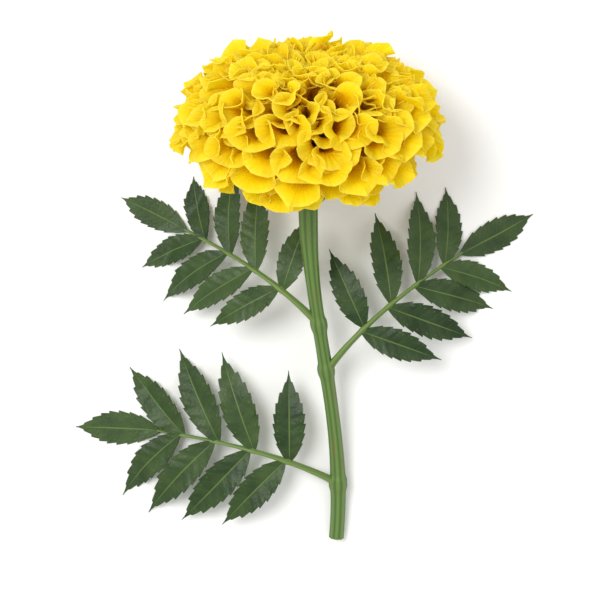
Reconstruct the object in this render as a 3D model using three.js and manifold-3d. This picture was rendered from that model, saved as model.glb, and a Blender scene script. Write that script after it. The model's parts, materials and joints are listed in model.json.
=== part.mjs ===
// An African marigold flower, picked with a short leafy stem and laid down on its side.
// Millimetres, +Z up. The stem runs along +Y towards the head, which rests on its lowest petals,
// and the cut end and the leaf tips touch the same surface. The pieces are the head of ruffled ray
// florets, the green cup (involucre) that holds their bases, the stem, and three pinnate leaves.
import * as THREE from "three";
import { mergeVertices } from "three/addons/utils/BufferGeometryUtils.js";
import Module from "manifold-3d";

const wasm = await Module();
wasm.setup();

// The head. Its axis leans back from the vertical as the stem lies down.
const HEAD_TILT = 20; // degrees of the head's axis above the surface
const PETAL_COUNT = 78;
const PETAL_STEEPEST = 99; // degrees from the axis at which the lowest petals leave the root
const PETAL_THICKNESS = 0.6;
const PETAL_LEVELS = [0, 0.78, 1]; // rows of a petal's grid, from its start to its rim
const PETAL_COLUMNS = { crown: 4, below: 5 };
const CROWN_SHARE = 0.25; // of the petals, packed so close that they stay narrow
const CLAW_HALF_WIDTH = 1.5; // of the rolled foot of a petal
const PETAL_ARC = { foot: 105, rim: 34 }; // degrees that half a petal's section curls through
const OPENING = { from: 0.42, to: 0.95 }; // the stretch of a petal over which it unrolls
const ROOT_HEIGHT = 4; // of the petals' common root above the cup's mouth plane
// A petal by the angle from the axis at which it leaves the root: its reach along itself, half
// its width, how far it bends away from the crown (degrees) and where along it the grid starts.
const PETAL_KINDS = [
  { from: 0, reach: 25, halfWidth: 4.5, bend: 12, start: 0.5 },
  { from: 25, reach: 33.5, halfWidth: 6.5, bend: 38, start: 0.5 },
  { from: 45, reach: 40, halfWidth: 8.5, bend: 46, start: 0.52 },
  { from: 60, reach: 45.5, halfWidth: 9.5, bend: 40, start: 0.5 },
  { from: 75, reach: 48.5, halfWidth: 10, bend: 30, start: 0.43 },
  { from: 88, reach: 45, halfWidth: 10, bend: 22, start: 0.32 },
  { from: 100, reach: 36.5, halfWidth: 9.5, bend: 12, start: 0.25 },
];
const PRESSED = 1.4; // how much of the lowest rims is flattened where the head rests
const GOLDEN_ANGLE = Math.PI * (3 - Math.sqrt(5));

// The cup of fused bracts under the head.
const CUP_HEIGHT = 18;
const CUP_WALL = 1;
const CUP_BRACTS = 10;
const CUP_BOTTOM = 14; // depth of the cup's inside
const SEAT_GAP = 0.3; // left between two pieces that touch

// The stem, from the cup down to the cut.
const STEM_LENGTH = 122;
const STEM_RADIUS = { cup: 3.1, neck: 2.2, cut: 2.6 };
const STEM_END_SLOPE = 6; // degrees
const STEM_SWAY = 10; // sideways shift of the cut end
const STEM_JOINTS = [0.36, 0.5, 0.84]; // swellings where a leaf leaves, from the cup to the cut

// The leaves: where they leave the stem, to which side, how many degrees off the stem's way up,
// the length of the midrib, the pairs of leaflets on it and the size of those.
const LEAVES = [
  { name: "leaf_left", joint: 0, side: -1, heading: 56, length: 58, pairs: 4, size: 0.9 },
  { name: "leaf_right", joint: 1, side: 1, heading: 50, length: 64, pairs: 4, size: 0.96 },
  { name: "leaf_lower", joint: 2, side: -1, heading: 74, length: 68, pairs: 4, size: 1.04 },
];
const LEAFLET_LENGTH = 34;
const LEAFLET_HALF_WIDTH = 5.3;
const LEAFLET_TEETH = 3;
const LEAFLET_THICKNESS = 0.6;
const RACHIS_RADIUS = { base: 1.15, tip: 0.55 };

// Where the middle of the finished flower's plan lies before it is moved to the origin.
const PLAN_CENTRE = { x: -2.7, y: -51.1 };

const COLOURS = { petals: "#f6cf12", cup: "#4f7d2a", stem: "#6f8f3f", leaf: "#3c5a34" };

const UP = new THREE.Vector3(0, 0, 1);
const radians = THREE.MathUtils.degToRad;
const mix = THREE.MathUtils.lerp;
const smooth = (from, to, x) => THREE.MathUtils.smoothstep(x, from, to);
const clamp = THREE.MathUtils.clamp;

// A repeatable random number from 0 to 1 for each whole number and purpose.
function chance(index, purpose) {
  const wave = Math.sin(index * 12.9898 + purpose * 78.233) * 43758.5453;
  return wave - Math.floor(wave);
}
const spread = (index, purpose, amount) => (chance(index, purpose) * 2 - 1) * amount;

// Keeps the middle of a thin sheet just above the surface that the flower lies on.
function liftFromSurface(point, halfThickness) {
  const softness = 0.7;
  const height = (point.z - halfThickness) / softness;
  const lifted = height > 20 ? height : Math.log1p(Math.exp(height));
  point.z = halfThickness + lifted * softness;
  return point;
}

// A mesh from its points and the corners of its triangles.
function closedGeometry(points, triangles) {
  const geometry = new THREE.BufferGeometry();
  const flat = points.flatMap((point) => [point.x, point.y, point.z]);
  geometry.setAttribute("position", new THREE.Float32BufferAttribute(flat, 3));
  geometry.setIndex(triangles);
  return geometry;
}

// A thin sheet given as a grid of points, thickened to both sides.
function sheetGeometry(grid, thickness) {
  const rows = grid.length;
  const columns = grid[0].length;
  const normalAt = (row, column) => {
    const along = grid[Math.min(row + 1, rows - 1)][column]
      .clone()
      .sub(grid[Math.max(row - 1, 0)][column]);
    const across = grid[row][Math.min(column + 1, columns - 1)]
      .clone()
      .sub(grid[row][Math.max(column - 1, 0)]);
    return across.cross(along).normalize();
  };
  const faces = [1, -1].flatMap((side) =>
    grid.flatMap((line, row) =>
      line.map((point, column) =>
        point.clone().addScaledVector(normalAt(row, column), (side * thickness) / 2),
      ),
    ),
  );
  const top = (row, column) => row * columns + column;
  const bottom = (row, column) => rows * columns + top(row, column);
  const triangles = [];
  const quad = (a, b, c, d) => triangles.push(a, b, c, a, c, d);
  for (let row = 0; row + 1 < rows; row += 1)
    for (let column = 0; column + 1 < columns; column += 1) {
      quad(top(row, column), top(row, column + 1), top(row + 1, column + 1), top(row + 1, column));
      triangles.push(
        bottom(row, column), bottom(row + 1, column + 1), bottom(row, column + 1),
        bottom(row, column), bottom(row + 1, column), bottom(row + 1, column + 1),
      );
    }
  for (let row = 0; row + 1 < rows; row += 1) {
    quad(top(row, 0), top(row + 1, 0), bottom(row + 1, 0), bottom(row, 0));
    const last = columns - 1;
    quad(top(row + 1, last), top(row, last), bottom(row, last), bottom(row + 1, last));
  }
  for (let column = 0; column + 1 < columns; column += 1) {
    quad(top(0, column + 1), top(0, column), bottom(0, column), bottom(0, column + 1));
    const last = rows - 1;
    quad(top(last, column), top(last, column + 1), bottom(last, column + 1), bottom(last, column));
  }
  return closedGeometry(faces, triangles);
}

// A round tube along a curve, with its own radius at each step.
function tubeGeometry(curve, radiusAt, sides, steps) {
  const frames = curve.computeFrenetFrames(steps, false);
  const points = [];
  for (let step = 0; step <= steps; step += 1) {
    const centre = curve.getPointAt(step / steps);
    const radius = radiusAt(step / steps);
    for (let side = 0; side < sides; side += 1) {
      const angle = (side / sides) * Math.PI * 2;
      points.push(
        centre
          .clone()
          .addScaledVector(frames.normals[step], Math.cos(angle) * radius)
          .addScaledVector(frames.binormals[step], Math.sin(angle) * radius),
      );
    }
  }
  const triangles = [];
  for (let step = 0; step < steps; step += 1)
    for (let side = 0; side < sides; side += 1) {
      const next = (side + 1) % sides;
      const here = step * sides;
      const there = here + sides;
      triangles.push(here + side, here + next, there + next);
      triangles.push(here + side, there + next, there + side);
    }
  const last = steps * sides;
  for (let side = 1; side + 1 < sides; side += 1) {
    triangles.push(0, side + 1, side);
    triangles.push(last, last + side, last + side + 1);
  }
  return closedGeometry(points, triangles);
}

// manifold-3d takes a geometry whose shared corners are merged, and gives one back.
function solidOf(geometry) {
  const bare = geometry.clone();
  for (const name of Object.keys(bare.attributes)) if (name !== "position") bare.deleteAttribute(name);
  const merged = mergeVertices(bare, 1e-4);
  const solid = new wasm.Manifold(
    new wasm.Mesh({
      numProp: 3,
      vertProperties: new Float32Array(merged.attributes.position.array),
      triVerts: new Uint32Array(merged.index.array),
    }),
  );
  if (solid.volume() < 0) throw new Error("a piece is inside out");
  return solid;
}

function geometryOf(solid) {
  const mesh = solid.getMesh();
  const geometry = new THREE.BufferGeometry();
  geometry.setAttribute("position", new THREE.BufferAttribute(mesh.vertProperties, 3));
  geometry.setIndex(new THREE.BufferAttribute(mesh.triVerts, 1));
  geometry.computeVertexNormals();
  return geometry;
}

const fuse = (solids) => solids.reduce((whole, solid) => whole.add(solid));

// The outer skin alone: hollows that crossing petals have sealed are filled, scraps are dropped.
const outerBody = (solid) =>
  solid.decompose().reduce((largest, piece) => (piece.volume() > largest.volume() ? piece : largest));

// The head's own frame: Z along its axis out of the crown, its origin in the cup's mouth.
const headAxis = new THREE.Vector3(0, Math.cos(radians(HEAD_TILT)), Math.sin(radians(HEAD_TILT)));
function headFrame(height) {
  const across = new THREE.Vector3(1, 0, 0);
  return new THREE.Matrix4()
    .makeBasis(across, headAxis.clone().cross(across), headAxis)
    .setPosition(0, 0, height);
}

// The kind of petal that leaves the root at this angle, between its two neighbours in the list.
function petalKind(degrees) {
  const next = Math.max(1, PETAL_KINDS.findIndex((kind) => kind.from >= degrees));
  const [low, high] = [PETAL_KINDS[next - 1], PETAL_KINDS[next]];
  const share = clamp((degrees - low.from) / (high.from - low.from), 0, 1);
  const names = Object.keys(low);
  return Object.fromEntries(names.map((name) => [name, mix(low[name], high[name], share)]));
}

// One ray floret as a grid of points in the head's frame. It leaves the root as a rolled claw,
// opens like a funnel, bends away from the crown and ends in a ruffled, round-cornered rim.
function petalGrid(index) {
  const share = (index + 0.5) / PETAL_COUNT;
  const columns = share < CROWN_SHARE ? PETAL_COLUMNS.crown : PETAL_COLUMNS.below;
  const polar = Math.acos(1 - share * (1 - Math.cos(radians(PETAL_STEEPEST))));
  const kind = petalKind(THREE.MathUtils.radToDeg(polar));
  const reach = kind.reach * (1 + spread(index, 2, 0.03));
  const halfWidth = kind.halfWidth * (1 + spread(index, 3, 0.1));
  const bend = radians(kind.bend + spread(index, 4, 6));
  const twist = 0.25 + spread(index, 5, 0.2);
  const ruffle = 0.16 * halfWidth;
  const waves = 3.2 + spread(index, 6, 0.6);
  const phase = chance(index, 7) * Math.PI * 2;

  const turn = new THREE.Matrix4()
    .makeRotationZ(index * GOLDEN_ANGLE)
    .multiply(new THREE.Matrix4().makeRotationY(polar))
    .multiply(new THREE.Matrix4().makeRotationZ(Math.PI / 2 + twist));
  const root = new THREE.Vector3(0, 0, ROOT_HEIGHT);

  return PETAL_LEVELS.map((level) =>
    Array.from({ length: columns + 1 }, (_, column) => {
      const across = (column / columns) * 2 - 1;
      const rim = 1 - 0.13 * across ** 2 - 0.07 * across ** 6;
      const along = mix(kind.start, rim, level);
      const centre = petalLine(along, reach, bend);
      const opening = smooth(OPENING.from, OPENING.to, along);
      const arc = radians(mix(PETAL_ARC.foot, PETAL_ARC.rim, opening));
      const radius = mix(CLAW_HALF_WIDTH, halfWidth, opening) / arc;
      const wave = ruffle * smooth(0.55, 1, along) * Math.cos(Math.PI * waves * across + phase);
      const raised = radius * (0.7 - Math.cos(arc * across)) + wave;
      return new THREE.Vector3(
        radius * Math.sin(arc * across),
        raised * Math.cos(centre.angle) - centre.away,
        raised * Math.sin(centre.angle) + centre.out,
      )
        .applyMatrix4(turn)
        .add(root);
    }),
  );
}

// A petal's centre line runs out from the root and bends away from the crown in its outer part.
function petalLine(along, reach, bend) {
  const steps = 12;
  const angleAt = (share) => bend * smooth(0.4, 1, share);
  let out = 0;
  let away = 0;
  for (let step = 0; step < steps; step += 1) {
    const angle = angleAt(((step + 0.5) / steps) * along);
    out += (Math.cos(angle) * reach * along) / steps;
    away += (Math.sin(angle) * reach * along) / steps;
  }
  return { out, away, angle: angleAt(along) };
}

const smallest = (points, axis) => Math.min(...points.map((point) => point[axis]));
const petalGrids = Array.from({ length: PETAL_COUNT }, (_, index) => petalGrid(index));

// The head is set down so far that its lowest rims would go through the surface by PRESSED.
const atZero = headFrame(0);
const lowestPetal = smallest(
  petalGrids.flat(2).map((point) => point.clone().applyMatrix4(atZero)),
  "z",
);
const HEAD_HEIGHT = Math.round((-lowestPetal - PRESSED) * 10) / 10;
const headToWorld = headFrame(HEAD_HEIGHT);

// The packed floret bases: a plug in the cup that opens to the body of the head.
function coreGeometry() {
  const inside = cupRadius(-CUP_BOTTOM) - CUP_WALL - SEAT_GAP;
  const mouth = cupRadius(0) - CUP_WALL - SEAT_GAP;
  const profile = [
    [0, -CUP_BOTTOM + SEAT_GAP],
    [inside - 0.5, -CUP_BOTTOM + SEAT_GAP],
    [mouth, -5],
    [mouth, 1.5],
    [15, 3.5],
    [25, 5.5],
    [31, 10],
    [31.5, 14.5],
    [27, 19],
    [15, 20.5],
    [0, 19.5],
  ].map(([radius, height]) => new THREE.Vector2(radius, height));
  return new THREE.LatheGeometry(profile, 20).rotateX(Math.PI / 2);
}

function bloomSolid() {
  const core = solidOf(coreGeometry().applyMatrix4(headToWorld));
  const petals = petalGrids.map((grid) =>
    solidOf(sheetGeometry(grid, PETAL_THICKNESS).applyMatrix4(headToWorld)),
  );
  const below = new THREE.BoxGeometry(200, 200, 20).translate(0, 0, -10);
  return outerBody(wasm.Manifold.union([core, ...petals]).subtract(solidOf(below)));
}

// The outer radius of the cup at a height below its mouth plane.
function cupRadius(height) {
  const level = clamp((height + CUP_HEIGHT) / CUP_HEIGHT, 0, 1);
  return mix(STEM_RADIUS.cup + 0.4, 10.2, Math.pow(Math.sin((level * Math.PI) / 2), 0.75)) - level ** 6;
}

// The cup: fused bracts that show as shallow ridges and end in small teeth.
function cupGeometry() {
  const sides = CUP_BRACTS * 4;
  const outerLevels = [-CUP_HEIGHT, -15.5, -12, -7, -2.5, 0];
  const innerLevels = [0, -5, -CUP_BOTTOM];
  const tooth = (side) => [0, 1.2, 2.6, 1.2][side % 4];
  const ridge = (side) => [-0.45, 0, 0.2, 0][side % 4];
  const points = [];
  const ring = (radiusAt, heightAt) => {
    for (let side = 0; side < sides; side += 1) {
      const angle = (side / sides) * Math.PI * 2;
      const radius = radiusAt(side);
      points.push(
        new THREE.Vector3(Math.cos(angle) * radius, Math.sin(angle) * radius, heightAt(side)),
      );
    }
  };
  outerLevels.forEach((level, step) =>
    ring(
      (side) => cupRadius(level) + (step ? ridge(side) : 0),
      (side) => level + (step === outerLevels.length - 1 ? tooth(side) - 2.2 : 0),
    ),
  );
  innerLevels.forEach((level, step) =>
    ring(
      () => cupRadius(level) - CUP_WALL,
      (side) => level + (step === 0 ? tooth(side) - 2.2 : 0),
    ),
  );
  const triangles = [];
  const rings = outerLevels.length + innerLevels.length;
  for (let step = 0; step + 1 < rings; step += 1)
    for (let side = 0; side < sides; side += 1) {
      const next = (side + 1) % sides;
      const here = step * sides;
      const there = here + sides;
      triangles.push(here + side, here + next, there + next);
      triangles.push(here + side, there + next, there + side);
    }
  const last = (rings - 1) * sides;
  for (let side = 1; side + 1 < sides; side += 1) {
    triangles.push(0, side + 1, side);
    triangles.push(last, last + side, last + side + 1);
  }
  return closedGeometry(points, triangles);
}

// The stem leaves the cup in line with the head and curves down to lie on the surface.
const stemTop = new THREE.Vector3(0, 0, -CUP_HEIGHT - SEAT_GAP).applyMatrix4(headToWorld);
const stemDrop = stemTop.z - STEM_RADIUS.cut;
const stemEnd = new THREE.Vector3(
  STEM_SWAY,
  stemTop.y - Math.sqrt(STEM_LENGTH ** 2 - stemDrop ** 2),
  STEM_RADIUS.cut * Math.cos(radians(STEM_END_SLOPE)),
);
const stemCurve = new THREE.CubicBezierCurve3(
  stemTop,
  stemTop.clone().addScaledVector(headAxis, -STEM_LENGTH * 0.36),
  stemEnd
    .clone()
    .add(
      new THREE.Vector3(0.08, 1, Math.tan(radians(STEM_END_SLOPE))).setLength(STEM_LENGTH * 0.36),
    ),
  stemEnd,
);
function stemRadius(share) {
  const hollowNeck = mix(STEM_RADIUS.cup, STEM_RADIUS.neck, smooth(0, 0.3, share));
  const plain = mix(hollowNeck, STEM_RADIUS.cut, smooth(0.3, 1, share));
  const swelling = (at) => 0.7 * Math.exp(-(((share - at) / 0.022) ** 2));
  return STEM_JOINTS.reduce((radius, at) => radius + swelling(at), plain);
}
const stemTube = (clearance, sides, steps) =>
  tubeGeometry(stemCurve, (share) => stemRadius(share) + clearance, sides, steps);

// A leaf's midrib: it leaves the stem rising, arches over and comes down to the surface.
function rachisCurve({ joint, side, heading, length }) {
  const start = stemCurve.getPointAt(STEM_JOINTS[joint]);
  const turnOf = (degrees) =>
    new THREE.Vector3(side * Math.sin(radians(degrees)), Math.cos(radians(degrees)), 0);
  const tip = start
    .clone()
    .addScaledVector(turnOf(heading), length * 0.96)
    .setZ(1.4);
  return new THREE.CubicBezierCurve3(
    start,
    start
      .clone()
      .addScaledVector(turnOf(heading - 16), length * 0.34)
      .setZ(start.z + 10),
    tip
      .clone()
      .addScaledVector(turnOf(heading + 10), -length * 0.3)
      .setZ(tip.z + 9),
    tip,
  );
}

// One leaflet: a lance-shaped blade, folded a little along its midrib, toothed towards its tip.
function leafletGrid(base, direction, sideways, length, halfWidth, droop) {
  const stations = [{ along: 0, width: 0.12 }];
  for (let tooth = 0; tooth < LEAFLET_TEETH; tooth += 1) {
    const from = 0.14 + (tooth / LEAFLET_TEETH) * 0.8;
    const outline = (along) => Math.sin(Math.PI * along ** 0.8) ** 0.75;
    stations.push({ along: from, width: outline(from) * 0.93 });
    stations.push({ along: from + 0.13, width: outline(from + 0.13) * 1.06 + 0.04 });
  }
  stations.push({ along: 1, width: 0.07 });
  return stations.map(({ along, width }) =>
    [-1, 0, 1].map((edge) => {
      const point = base
        .clone()
        .addScaledVector(direction, length * along)
        .addScaledVector(sideways, edge * halfWidth * width);
      point.z += Math.abs(edge) * width * halfWidth * 0.22;
      point.z += length * (0.16 * along - droop * along ** 2);
      return liftFromSurface(point, LEAFLET_THICKNESS / 2);
    }),
  );
}

function leafSolid(leaf) {
  const curve = rachisCurve(leaf);
  const rachis = tubeGeometry(
    curve,
    (share) => mix(RACHIS_RADIUS.base, RACHIS_RADIUS.tip, smooth(0, 0.9, share)),
    6,
    14,
  );
  const blades = [];
  const addLeaflet = (at, angle, share) => {
    const forward = curve.getTangentAt(at);
    const level = new THREE.Vector3().crossVectors(forward, UP).normalize();
    const direction = forward
      .clone()
      .multiplyScalar(Math.cos(angle))
      .addScaledVector(level, Math.sin(angle));
    const sideways = new THREE.Vector3().crossVectors(direction, UP).normalize().negate();
    blades.push(
      leafletGrid(
        curve.getPointAt(at),
        direction,
        sideways,
        LEAFLET_LENGTH * leaf.size * share,
        LEAFLET_HALF_WIDTH * leaf.size * (0.5 + share / 2),
        0.34,
      ),
    );
  };
  for (let pair = 0; pair < leaf.pairs; pair += 1) {
    const share = pair / (leaf.pairs - 1);
    const at = mix(0.3, 0.86, share);
    const angle = radians(mix(66, 44, share));
    const size = 0.78 + 0.24 * Math.sin(Math.PI * (0.15 + 0.7 * share));
    addLeaflet(at - 0.012, angle, size);
    addLeaflet(at + 0.012, -angle, size);
  }
  addLeaflet(0.985, 0, 1);
  const whole = fuse([
    solidOf(rachis),
    ...blades.map((grid) => solidOf(sheetGeometry(grid, LEAFLET_THICKNESS))),
  ]);
  return whole.subtract(solidOf(stemTube(SEAT_GAP, 12, 40)));
}

function namedMesh(name, geometry, colour, roughness) {
  const material = new THREE.MeshStandardMaterial({ color: colour, roughness, metalness: 0 });
  const mesh = new THREE.Mesh(geometry, material);
  mesh.name = name;
  return mesh;
}

const flower = new THREE.Group();
flower.add(namedMesh("bloom", geometryOf(bloomSolid()), COLOURS.petals, 0.6));
flower.add(namedMesh("involucre", cupGeometry().applyMatrix4(headToWorld), COLOURS.cup, 0.5));
flower.add(namedMesh("stem", stemTube(0, 10, 36), COLOURS.stem, 0.55));
for (const leaf of LEAVES)
  flower.add(namedMesh(leaf.name, geometryOf(leafSolid(leaf)), COLOURS.leaf, 0.6));
flower.position.set(-PLAN_CENTRE.x, -PLAN_CENTRE.y, 0);

export default flower;
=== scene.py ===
# %% [markdown]
# # An African marigold, picked and laid down
#
# The flower is a large double marigold, cut with a short leafy stem. It lies on its side: the head rests
# on the rims of its lowest petals, and the stem's cut end and the leaf tips touch the same surface. Its
# solids come in as a fixed frame, and every step replaces one of them with a finer piece of its form.

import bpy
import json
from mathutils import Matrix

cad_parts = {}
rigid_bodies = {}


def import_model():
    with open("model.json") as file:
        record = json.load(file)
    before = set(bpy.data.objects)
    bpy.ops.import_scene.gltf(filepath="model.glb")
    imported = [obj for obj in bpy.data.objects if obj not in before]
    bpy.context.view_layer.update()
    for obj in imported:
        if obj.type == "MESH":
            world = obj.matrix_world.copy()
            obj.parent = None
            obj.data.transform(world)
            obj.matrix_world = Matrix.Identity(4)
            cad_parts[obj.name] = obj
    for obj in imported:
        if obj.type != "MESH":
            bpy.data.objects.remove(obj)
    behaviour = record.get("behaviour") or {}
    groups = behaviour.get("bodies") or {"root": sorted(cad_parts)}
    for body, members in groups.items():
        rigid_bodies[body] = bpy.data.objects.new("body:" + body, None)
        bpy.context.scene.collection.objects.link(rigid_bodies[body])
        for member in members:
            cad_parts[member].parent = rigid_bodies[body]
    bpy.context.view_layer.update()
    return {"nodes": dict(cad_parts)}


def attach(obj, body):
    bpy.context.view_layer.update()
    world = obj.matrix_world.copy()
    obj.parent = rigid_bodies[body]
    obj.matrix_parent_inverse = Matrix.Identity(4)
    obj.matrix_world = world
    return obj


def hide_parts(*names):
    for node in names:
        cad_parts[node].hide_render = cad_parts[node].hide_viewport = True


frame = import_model()
print("frame nodes:", sorted(frame["nodes"]))

# %% [markdown]
# ## Tools
#
# Real sizes are in millimetres, and `MM` turns them to metres. A plant is full of curves that ease in
# and out, so `smooth` and `mix` come first. One function adds a node to any tree, with its settings and
# its links, and each new tree or material gives that function as its own `add`.

# %% Units and easing
import json
import math
from functools import partial

import bmesh
import bpy
import numpy as np
from mathutils import Euler, Matrix, Vector

MM = 0.001
GOLDEN_ANGLE = math.pi * (3 - math.sqrt(5))


def mix(low, high, share):
    return low + (high - low) * share


def smooth(low, high, value):
    share = np.clip((value - low) / (high - low), 0, 1)
    return share * share * (3 - 2 * share)


def linear(hex_colour):
    """The linear colour that Blender works in, from an sRGB one such as '#ffcc00'."""
    parts = [int(hex_colour[i : i + 2], 16) / 255 for i in (1, 3, 5)]
    return tuple(p / 12.92 if p <= 0.04045 else ((p + 0.055) / 1.055) ** 2.4 for p in parts) + (1.0,)


print("golden angle:", round(math.degrees(GOLDEN_ANGLE), 1), "degrees")

# %% Nodes
# Kinds of node that come back often
MATH = "ShaderNodeMath"
VECTOR_MATH = "ShaderNodeVectorMath"
MAP_RANGE = "ShaderNodeMapRange"  # its inputs: value, from min, from max, to min, to max
MIX = "ShaderNodeMix"
RAMP = "ShaderNodeValToRGB"
XYZ = "ShaderNodeCombineXYZ"
NOISE = "ShaderNodeTexNoise"
STORE = "GeometryNodeStoreNamedAttribute"
RANDOM = "FunctionNodeRandomValue"
ROTATION = "FunctionNodeEulerToRotation"


def add_node(tree, kind, wires=(), operation=None, **settings):
    """Adds a node. Wires gives its inputs, in order or by name, a value, an output or a whole node."""
    node = tree.nodes.new(kind)
    if operation:
        node.operation = operation
    for name, value in settings.items():
        setattr(node, name, value)
    for key, value in wires.items() if isinstance(wires, dict) else enumerate(wires):
        if isinstance(key, int):
            socket = node.inputs[key]
        else:
            socket = next(s for s in node.inputs if s.name == key and s.enabled)
        if isinstance(value, bpy.types.Node):
            value = next(output for output in value.outputs if output.enabled)
        if isinstance(value, bpy.types.NodeSocket):
            tree.links.new(value, socket)
        else:
            socket.default_value = value
    return node


def new_tree(name, **inputs):
    """A Geometry Nodes tree with named inputs. Gives the tree, its `add` and what its inputs say."""
    tree = bpy.data.node_groups.new(name, "GeometryNodeTree")
    tree.interface.new_socket("Geometry", in_out="OUTPUT", socket_type="NodeSocketGeometry")
    for label, kind in inputs.items():
        tree.interface.new_socket(label, in_out="INPUT", socket_type="NodeSocket" + kind)
    return tree, partial(add_node, tree), tree.nodes.new("NodeGroupInput").outputs


def end_tree(add, geometry, material):
    """Every tree ends the same way: real meshes in place of instances, then their material."""
    real = add("GeometryNodeRealizeInstances", [geometry])
    coloured = add("GeometryNodeSetMaterial", {"Geometry": real, "Material": material})
    add("NodeGroupOutput", [coloured])


print("node tools ready")

# %% From trees and modifiers to plain meshes
SHARP_ANGLE = math.radians(60)


def plain(piece):
    """Turns what a piece's modifiers make into its own plain mesh."""
    graph = bpy.context.evaluated_depsgraph_get()
    shown = piece.evaluated_get(graph)
    made = bpy.data.meshes.new_from_object(shown, preserve_all_data_layers=True, depsgraph=graph)
    made.name = piece.name
    piece.modifiers.clear()
    piece.data = made
    return piece


def new_object(name, data, collection=None):
    made = bpy.data.objects.new(name, data)
    (collection or bpy.context.scene.collection).objects.link(made)
    return made


def grow(tree, name, **values):
    """Runs a tree with these input values and keeps the result as a piece."""
    piece = new_object(name, bpy.data.meshes.new(name))
    modifier = piece.modifiers.new("grow", "NODES")
    modifier.node_group = tree
    for item in tree.interface.items_tree:
        if item.in_out == "INPUT":
            modifier[item.identifier] = values[item.name]
    return plain(piece)


def thicken(piece, thickness, other_side=0):
    """Gives a thin sheet two faces and a rim. The new face may take the piece's second material."""
    modifier = piece.modifiers.new("thickness", "SOLIDIFY")
    modifier.thickness = thickness * MM
    modifier.offset = 0
    modifier.material_offset = other_side
    plain(piece).data.set_sharp_from_angle(angle=SHARP_ANGLE)
    return piece


def describe(piece):
    piece.data.calc_loop_triangles()
    print(f"{piece.name}: {len(piece.data.loop_triangles)} triangles")


print("an edge is sharp from", round(math.degrees(SHARP_ANGLE)), "degrees")

# %% Sheets from grids of points
SAME_PLACE = 1e-7  # metres: points closer than this are one
NO_LENGTH = 1e-8


def sheet_mesh(name, grid, **values):
    """A sheet from a grid of points in millimetres, with a value at each point for its materials."""
    rows, columns = grid.shape[:2]
    corner = np.arange(rows * columns).reshape(rows, columns)
    quads = np.stack([corner[:-1, :-1], corner[:-1, 1:], corner[1:, 1:], corner[1:, :-1]], axis=-1)
    mesh = bpy.data.meshes.new(name)
    mesh.from_pydata((grid.reshape(-1, 3) * MM).tolist(), [], quads.reshape(-1, 4).tolist())
    for label, numbers in values.items():
        layer = mesh.attributes.new(label, "FLOAT", "POINT")
        layer.data.foreach_set("value", np.ascontiguousarray(numbers, dtype=np.float32).ravel())
    mesh.shade_smooth()
    return mesh


def close_seams(mesh):
    """Joins points that share a place, so that a rolled sheet becomes one closed body."""
    work = bmesh.new()
    work.from_mesh(mesh)
    bmesh.ops.remove_doubles(work, verts=work.verts, dist=SAME_PLACE)
    bmesh.ops.dissolve_degenerate(work, dist=NO_LENGTH, edges=work.edges)
    bmesh.ops.recalc_face_normals(work, faces=work.faces)
    work.to_mesh(mesh)
    work.free()
    return mesh


print("tools ready")

# %% [markdown]
# ## Where the head is
#
# The head's axis leans 20 degrees above the surface, as in the solids. The head is built upright around
# the mouth of the green cup and then laid down with one turn.

# %% The head's place
HEAD_TILT = math.radians(20)
HEAD_ORIGIN = Vector((2.7, 51.1, 39.6)) * MM
HEAD_TURN = Euler((HEAD_TILT - math.pi / 2, 0, 0))
head_to_world = Matrix.LocRotScale(HEAD_ORIGIN, HEAD_TURN, None)
head_axis = head_to_world.to_3x3() @ Vector((0, 0, 1))
print("head axis:", [round(part, 3) for part in head_axis])

# %% [markdown]
# ## Petal tissue
#
# Each petal is a ray floret: a thin strap with a rolled foot that opens to a broad ruffled limb. Its
# tissue is satin, finely ribbed along its length, and lets light through, so the hollows glow golden
# while the rims stay lemon. On top of that, painted shade makes the throats a deeper gold, and a
# painted highlight makes the very rims paler where their edges catch the light. A Principled shader
# gives the skin, and a share of Translucent light passes through it. The colours follow the attribute
# `along`, which says how far a point lies along its petal. Light that bounces in a hollow takes the
# colour on again, so these colours are paler than they look.


# %% How every material starts and ends
def new_material(name):
    material = bpy.data.materials.new(name)
    material.use_nodes = True
    material.node_tree.nodes.clear()
    return material, partial(add_node, material.node_tree)


def read(add, *attributes):
    """Gives a point's place on its piece, and then what each of these attributes says there."""
    place = add("ShaderNodeTexCoord").outputs["Object"]
    return place, *(add("ShaderNodeAttribute", attribute_name=name).outputs["Fac"] for name in attributes)


def set_stops(node, stops):
    """Gives a ramp its stops, which are pairs of value and colour."""
    elements = node.color_ramp.elements
    while len(elements) < len(stops):
        elements.new(0.5)
    for element, (place, colour) in zip(elements, stops):
        element.position = place
        element.color = linear(colour)
    return node


def end_material(add, colour, layers, height, strength, depth, roughness, specular, thinness=0, through=None):
    """Lays more colours over the first and ends in a skin with a little relief, its depth in mm.

    Layers are pairs of share and colour. A thin skin lets light through, tinted by the layer `through`.
    """
    for share, over in layers:
        colour = add(MIX, {"Factor": share, "A": colour, "B": linear(over)}, data_type="RGBA")
    relief = add("ShaderNodeBump", {"Height": height, "Strength": strength, "Distance": depth * MM})
    look = {"Base Color": colour, "Roughness": roughness, "Specular IOR Level": specular, "Normal": relief}
    surface = add("ShaderNodeBsdfPrincipled", look)
    if through:
        colour = add(MIX, {"Factor": through[0], "A": colour, "B": linear(through[1])}, data_type="RGBA")
    if thinness:
        glow = add("ShaderNodeBsdfTranslucent", {"Color": colour, "Normal": relief})
        surface = add("ShaderNodeMixShader", [thinness, surface, glow])
    add("ShaderNodeOutputMaterial", [surface])


print("material tools ready")

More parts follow.
